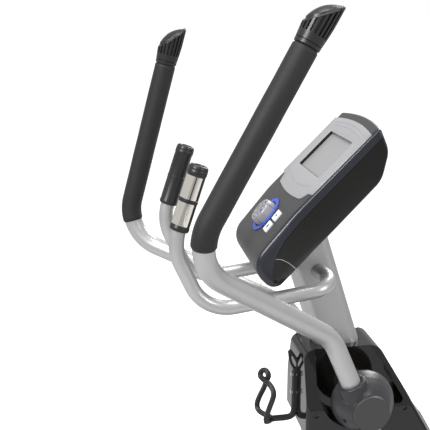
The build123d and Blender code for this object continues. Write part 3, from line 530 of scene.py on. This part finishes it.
def console_body():
    """Side outlines set side by side across the console, drawn in towards its rounded edges."""
    loop = rounded_loop(CONSOLE_OUTLINE)

    def outline_at(right, sunk):
        """The outline at a distance from the middle, sunk by a share of its rounding."""
        ring = []
        for point, inward in loop:
            rounding = EDGE_ROUNDING + (NOSE_ROUNDING - EDGE_ROUNDING) * smooth_step(-95, -205, point.x)
            where = point + inward * rounding * sunk
            drop = ARCH_DROP * (right / CONSOLE_HALF) ** 2 * smooth_step(30, 95, where.x)
            ring.append((where.x - drop, where.y))
        return ring

    half = []
    for step in range(9):
        angle = radians(90 * step / 8)
        right = CONSOLE_HALF - SIDE_ROUNDING * (1 - cos(angle))
        half.append((right, outline_at(right, 1 - sin(angle))))
    half += [(right, outline_at(right, 0)) for right in (94, 88, 75, 60, 45, 30, 15, 0)]
    whole = half + [(-right, ring) for right, ring in reversed(half[:-1])]
    return [[on_face(right, up, out) for up, out in ring] for right, ring in whole]


def seam_zone(level, gap):
    """The room between the seam and a level, as a wide prism; the gap opens the joint."""
    seam = [(160, SEAM[0][1] - gap)]
    seam += [(up - (gap if up < -200 else 0), out - gap) for up, out in SEAM]
    corners = seam + [(-300, -92 - gap), (-300, level), (160, level)]
    if level < 0:
        corners.reverse()
    return [[on_face(right, up, out) for up, out in corners] for right in (-160, 160)]


def make_console():
    """Front moulding with a glossy band down each side, darkened and tinted blue as painted shade and
    reflection, and the tub behind it.
    """
    verts, faces = skin(console_body())
    front = add_mesh("console_moulding", verts, faces, ["satin_grey", "shaded_band_gloss"], "frame", ["console_face"])
    tub = add_mesh("console_tub", verts, faces, "gloss_black", "frame", ["console_shell"])
    boolean(front, seam_zone(40, 0), "INTERSECT")
    boolean(tub, seam_zone(-190, SEAM_GAP), "INTERSECT")
    window = rounded_box_points(151.5, 92.5, 2)
    boolean(front, [[on_face(x, y, out) for x, y in window] for out in (-14, 8)])
    key_holes = [(0, 0, circle_points(27.3, 64))]
    key_holes += [(60, up, rounded_box_points(25.7, 21.7, 1.2)) for up in (14, -12)]
    for right, up, points in key_holes:
        boolean(front, [[on_pad(right + x, up + y, out) for x, y in points] for out in (-12, 10)])
    # faces on the rounded side walls take the band's darker bluish colour: painted shade and reflection
    for face in front.data.polygons:
        right = abs((face.center - DISPLAY).dot(FACE_RIGHT)) / MM
        face.material_index = 1 if right > CONSOLE_HALF - 0.85 * SIDE_ROUNDING else 0
    along = Vector((-sin(MAST_LEAN), 0, cos(MAST_LEAN)))
    fore = Vector((cos(MAST_LEAN), 0, sin(MAST_LEAN)))
    foot = PIVOT + Vector((0.001, 0, 0)) + along * 0.17
    mast_section = rounded_box_points(93, 63, 22)
    boolean(tub, [[foot + along * rise + (fore * x + ACROSS * y) * MM for x, y in mast_section]
                  for rise in (0, 0.235)])
    shade(front, 32)
    shade(tub, 32)


PAD_TILT = radians(5.4)


def on_pad(right, up, out):
    """A point of the key pad, which dips a little from the display's plane."""
    lift = cos(PAD_TILT) * out + sin(PAD_TILT) * up
    along = cos(PAD_TILT) * up - sin(PAD_TILT) * out
    return on_face(-8 + right, -163 + along, -3.4 + lift)


def bezel_points():
    """The bezel's outline, right of and up from the display's centre: arched top, stepped foot."""
    def arc(half, level, rise, count):
        """An arc from right to left that bulges upward by a rise."""
        shares = [k / count for k in range(count + 1)]
        return [(half - 2 * half * share, level + rise * 4 * share * (1 - share)) for share in shares]

    foot = [(-116, -77), (-99, -80), (-96, -83), (-88, -93), (-83, -97)]
    low_arc = arc(-80, -98, -6, 30)
    mirrored = [(-x, y) for x, y in reversed(foot)]
    return arc(118, 75, 10, 40) + [(-118, -74)] + foot + low_arc + mirrored + [(118, -74)]


def make_bezel():
    """A satin silver frame with a soft outer edge and a sloping inner one."""
    outline = bezel_points()
    window = rounded_box_points(148.6, 89.6, 2.0, 3)

    def reach_of(points, turn):
        """How far an outline lies from the centre in a direction."""
        direction = Vector((cos(turn), sin(turn)))
        best = 0
        for (ax, ay), (bx, by) in zip(points, points[1:] + points[:1]):
            edge = Vector((bx - ax, by - ay))
            cross = direction.x * edge.y - direction.y * edge.x
            if abs(cross) < 1e-9:
                continue
            reach = (ax * edge.y - ay * edge.x) / cross
            share = (ax * direction.y - ay * direction.x) / cross
            if reach > 0 and -1e-6 <= share <= 1 + 1e-6:
                best = max(best, reach)
        return best

    turns = {round(atan2(y, x), 5) for x, y in outline + window}
    turns = sorted(turns | {round(radians(d * 1.5) - pi, 5) for d in range(240)})
    turns = [turn for turn, after in zip(turns, turns[1:] + [turns[0] + 2 * pi]) if after - turn > 1e-4]
    rings = []
    for points, shift, out in (
            (outline, 0, -0.4), (outline, 0, 1.5), (outline, -0.3, 2.0), (outline, -1.0, 2.25),
            (window, 1.6, 2.25), (window, 0.5, 1.9), (window, 0, 1.2), (window, 0, -1.6)):
        spokes = [(reach_of(points, turn) + shift, turn) for turn in turns]
        rings.append([on_face(reach * cos(turn), reach * sin(turn), out) for reach, turn in spokes])
    verts, faces = skin(rings, closed=True)
    add_mesh("bezel_frame", verts, faces, "silver_plastic", "frame", ["display_bezel"])


ARROW_PROFILE = [  # radius and height
    (26.4, -5), (26.2, 4), (25.2, 12), (24.2, 16.2), (23.0, 17.6), (21.4, 17.9), (18, 16.6), (14, 15.6),
    (10.9, 15.2), (10.9, -5),
]
ENTER_PROFILE = [(10.0, -5), (10.0, 14.2), (9.5, 14.9), (8.6, 15.1), (5, 14.5), (0.3, 14.2)]
KEY_GAP = 0.7  # half the gap between two arrow keys


def make_direction_keys():
    """A raised knob split into four keys round a centre key, all dished."""
    for key, turn in (("up", 90), ("left", 180), ("down", 270), ("right", 0)):
        columns = []
        for k in range(21):
            column = []
            for radius, out in ARROW_PROFILE:
                half = 45 - degrees(asin(KEY_GAP / radius))
                angle = radians(turn - half + 2 * half * k / 20)
                column.append(on_pad(radius * cos(angle), radius * sin(angle), out))
            columns.append(column)
        verts, faces = skin(columns)
        add_mesh(f"pad_{key}", verts, faces, "silver_plastic", f"key_{key}", [f"key_{key}"], 35)
    rings = [[on_pad(x, y, out) for x, y in circle_points(radius, 48)] for radius, out in ENTER_PROFILE]
    verts, faces = skin(rings)
    add_mesh("pad_enter", verts, faces, "silver_plastic", "key_enter", ["key_enter"], 35)


def make_display_details():
    """Black lining round the display as painted shade, fine raised lines, light seam lines on the sides as
    painted highlights, and signs on the keys.
    """
    # a gloss black lining inside the display's opening, standing in for the shade in the recess: painted shade
    outer = rounded_box_points(151.2, 92.2, 1.5)
    inner = rounded_box_points(147.6, 88.6, 1.0)
    rings = [[on_face(x, y, out) for x, y in points]
             for points, out in ((outer, 1.7), (inner, 1.7), (inner, -3.9), (outer, -3.9))]
    verts, faces = skin(rings, closed=True)
    add_mesh("display_well_shade", verts, faces, "gloss_black", "frame")

    def raised_line(name, path, radius, up_hint):
        section = circle_points(radius * MM, 8)
        verts, faces = skin(sweep(path, lambda share: section, up_hint))
        add_mesh(name, verts, faces, "bezel_line", "frame")

    for index, (half, rise, level) in enumerate(((96, 9, 66), (84, 7, 59), (80, -12, -66))):
        shares = [k / 24 - 1 for k in range(49)]
        path = [on_face(half * t, level + rise * (1 - t * t), 2.25) for t in shares]
        raised_line(f"bezel_line_{index}", path, 0.45, FACE_OUT)
    # a raised seam on each side, drawn in light grey as a painted highlight along its edge
    seam = [(-206, -36), (-199, -44), (-194.5, -58), (-193.5, -72), (-195, -86), (-198, -94)]
    for name, side in SIDES.items():
        path = [on_face(-side * (CONSOLE_HALF - 0.2), up, out) for up, out in seam]
        raised_line(f"seam_highlight_{name}", resample(path, 0.003), 0.7, FACE_RIGHT)

    def sign(key, outline, right, up, out):
        rings = [[on_pad(right + x, up + y, out + rise) for x, y in outline] for rise in (-0.2, 0.25)]
        verts, faces = skin(rings)
        add_mesh(f"sign_{key}", verts, faces, "sign_grey", f"key_{key}")

    chevron = [(0, 3.2), (4.2, -1.4), (2.8, -2.4), (0, 0.8), (-2.8, -2.4), (-4.2, -1.4)]
    for key, turn in (("up", 0), ("left", 90), ("down", 180), ("right", 270)):
        c, s = cos(radians(turn)), sin(radians(turn))
        outline = [(x * c - (y + 18.5) * s, x * s + (y + 18.5) * c) for x, y in chevron]
        sign(key, outline, 0, 0, 17.0)
    sign("enter", circle_points(3.2, 24), 0, 0, 14.4)
    sign("start", [(-3, -4), (4.5, 0), (-3, 4)], 60, 14, 2.3)
    sign("stop", rounded_box_points(7, 7, 0.6), 60, -12, 2.3)


# ---------------------------------------------------------------- bottle cage

# Points along the strap's middle, from the swing axis, and the size of the strap there.
CAGE_STRAPS = {
    "back and foot": (1.12, [
        (-106, 0, 18), (-106, 0, -20), (-106, 0, -50), (-107, 0, -70), (-112, 0, -81), (-124, 0, -84.5),
        (-140, 0, -85), (-156, -2, -85), (-170, -10, -86)]),
    "crossing front": (0.96, [
        (-150, 2, -85), (-162, -10, -86), (-169, -20, -79), (-170, -27, -66), (-166, -34, -45),
        (-159, -38, -19), (-159, -34, -7), (-165, -20, 2), (-173, -2, 4), (-177, 9, 8), (-174, 8, 18),
        (-167, 0, 22), (-163, -6, 14), (-165, -1, 2), (-168, 16, -24), (-173, 32, -49), (-177, 38, -68),
        (-176, 32, -79), (-168, 20, -83), (-154, 6, -85)]),
    "prong, near side": (0.56, [(-106, 0, 10), (-102, 0, 26), (-103, 0, 38), (-110, 0, 51), (-119, 0, 64)]),
    "prong, far side": (0.5, [(-106, 0, 10), (-109, 0, 24), (-115, 0, 36), (-118, 0, 48), (-120, 0, 63)]),
}


def make_bottle_cage():
    """One moulded strap: back plate with a pointed loop, foot, and a front that crosses over itself."""
    section = rounded_box_points(11.5, 8.0, 3.0)
    bodies = []
    for scale, points in CAGE_STRAPS.values():
        path = resample(smooth_curve([PIVOT + Vector(point) * MM for point in points]), 0.003)
        rings = []
        for i, point in enumerate(path):
            along = (path[min(i + 1, len(path) - 1)] - path[max(i - 1, 0)]).normalized()
            flat = (ACROSS - along * along.y).normalized()
            wide = along.cross(flat)
            rings.append([point + (wide * x + flat * y) * scale * MM for x, y in section])
        bodies.append(skin(rings))
    verts, faces = join(bodies)
    cage = add_mesh("cage_strap", verts, faces, "matte_black", "frame", ["bottle_cage"])
    melt(cage, 0.0011, 3)
    shade(cage, 60)


# ---------------------------------------------------------------- hand pulse grips

PULSE_TOP_RUN = ((-364, 108.2, 318), (-316.2, 108.2, 464.3))  # the bar's last straight run
PULSE_GRIP = 0.117
PULSE_PROFILE = [  # radius and height
    (14.3, -1.5), (16.4, -1.5), (17.6, -0.6), (18.2, 1.0), (18.2, 5.5), (17.5, 7.0), (17.5, 54.0),
    (18.4, 54.6), (18.4, 58.4), (17.5, 59.0), (17.5, 104.5), (18.3, 106.0), (18.4, 113.5),
    (17.9, 114.2), (18.1, 115.0), (17.9, 118.0), (16.9, 120.6), (15.2, 122.2), (13.2, 122.7),
    (11.6, 121.9), (10.4, 120.4), (6, 119.8), (0.3, 119.7),
]


def make_pulse_grip(name, side):
    """Moulded grip sleeve with a ring between its plates, flared ends and a dished top."""
    low, high = (PIVOT + Vector((x, side * y, z)) * MM for x, y, z in PULSE_TOP_RUN)
    up = (high - low).normalized()
    base = high - up * PULSE_GRIP
    fore = ACROSS.cross(up).normalized()
    profile = [(14.3, 2.5)] + PULSE_PROFILE
    rings = [circle_in(base + up * rise * MM, fore, ACROSS, radius * MM, 64) for radius, rise in profile]
    verts, faces = skin(rings)
    add_mesh(f"pulse_sleeve_{name}", verts, faces, "cap_black", "frame", ["pulse_grips", "pulse_end_caps"], 38)


# ---------------------------------------------------------------- build

HARD_NODES = (
    "shroud_right", "shroud_left", "key_", "display_bezel", "control_ring", "lcd_panel", "crank_arms",
    "foot_pad", "pedal_arm", "axle_cap", "base_spine", "upright_tube", "stabilizer_end_caps",
    "front_stabilizer", "rear_stabilizer", "transport_wheel", "pulse_plates", "shroud_trim",
    "cage_bolts", "mast_bolts", "floor_pads", "drive_pulley", "flywheel",
)
for name in [name for name in nodes if name.startswith(HARD_NODES)]:
    soften(name)
for side_name, side_sign in SIDES.items():
    make_foam_grip(side_name, side_sign)
    make_arm_cap(side_name, side_sign)
    make_knuckle(side_name, side_sign)
    make_pulse_grip(side_name, side_sign)
make_console()
make_bezel()
make_direction_keys()
make_display_details()
make_bottle_cage()


# ---------------------------------------------------------------- stage

def whiten(tree, shader, strength):
    """Lift what the camera sees of the floor or the sky towards white, and leave its light alone."""
    sky = shader.type == "BACKGROUND"
    seen = tree.nodes.new("ShaderNodeLightPath")
    glow = tree.nodes.new("ShaderNodeBackground" if sky else "ShaderNodeEmission")
    glow.inputs["Strength"].default_value = strength
    glow.inputs["Color"].default_value = (1, 1, 1, 1)
    lift = tree.nodes.new("ShaderNodeMixShader")
    tree.links.new(seen.outputs["Is Camera Ray"], lift.inputs[0])
    tree.links.new(shader.outputs[0], lift.inputs[1])
    if sky:
        tree.links.new(glow.outputs[0], lift.inputs[2])
    else:
        both = tree.nodes.new("ShaderNodeAddShader")
        tree.links.new(shader.outputs[0], both.inputs[0])
        tree.links.new(glow.outputs[0], both.inputs[1])
        tree.links.new(both.outputs[0], lift.inputs[2])
    output = next(node for node in tree.nodes if node.type in ("OUTPUT_MATERIAL", "OUTPUT_WORLD"))
    tree.links.new(lift.outputs[0], output.inputs["Surface"])


def make_stage():
    """A plain pale floor, an even white sky and four soft boxes aimed at the swing axis."""
    bpy.ops.mesh.primitive_plane_add(size=80, location=(0, 0, -0.0005))
    floor = bpy.context.object
    floor.name = "floor"
    pale = material("floor_white", (0.6, 0.6, 0.6), 0.8, 0.0, 40, 0.02, 0.005)
    whiten(pale.node_tree, pale.node_tree.nodes["Principled BSDF"], 0.72)
    floor.data.materials.append(pale)
    world = bpy.data.worlds.new("studio")
    world.use_nodes = True
    sky = world.node_tree.nodes["Background"]
    sky.inputs["Color"].default_value = (1, 1, 1, 1)
    sky.inputs["Strength"].default_value = 0.62
    whiten(world.node_tree, sky, 1.0)
    bpy.context.scene.world = world
    for name, place, wide, high, power in (
        ("key", (-2.4, -1.9, 3.4), 0.8, 2.2, 120),
        ("fill", (2.6, -2.4, 2.6), 0.5, 1.8, 40),
        ("rim", (1.8, 2.4, 3.2), 0.9, 2.2, 70),
        ("top", (-0.4, -0.2, 4.2), 1.6, 1.2, 45),
    ):
        light = bpy.data.lights.new(name, "AREA")
        light.shape = "RECTANGLE"
        light.size = wide
        light.size_y = high
        light.energy = power
        lamp = bpy.data.objects.new(name, light)
        lamp.location = place
        lamp.rotation_euler = (PIVOT - Vector(place)).to_track_quat("-Z", "Y").to_euler()
        bpy.context.collection.objects.link(lamp)


def make_camera():
    """Over the right shoulder of someone beside the machine, looking slightly down at the console."""
    lens = bpy.data.cameras.new("camera")
    lens.sensor_width = 36
    lens.lens = 74.7
    camera = bpy.data.objects.new("camera", lens)
    camera.location = PIVOT + Vector((-0.5064, -1.6537, 0.7613))
    heading, dip = 0.141, 0.241
    ahead = Vector((sin(heading) * cos(dip), cos(heading) * cos(dip), -sin(dip)))
    camera.rotation_euler = ahead.to_track_quat("-Z", "Y").to_euler()
    bpy.context.collection.objects.link(camera)
    bpy.context.scene.camera = camera


make_stage()
make_camera()
bpy.context.scene.view_settings.view_transform = "Standard"
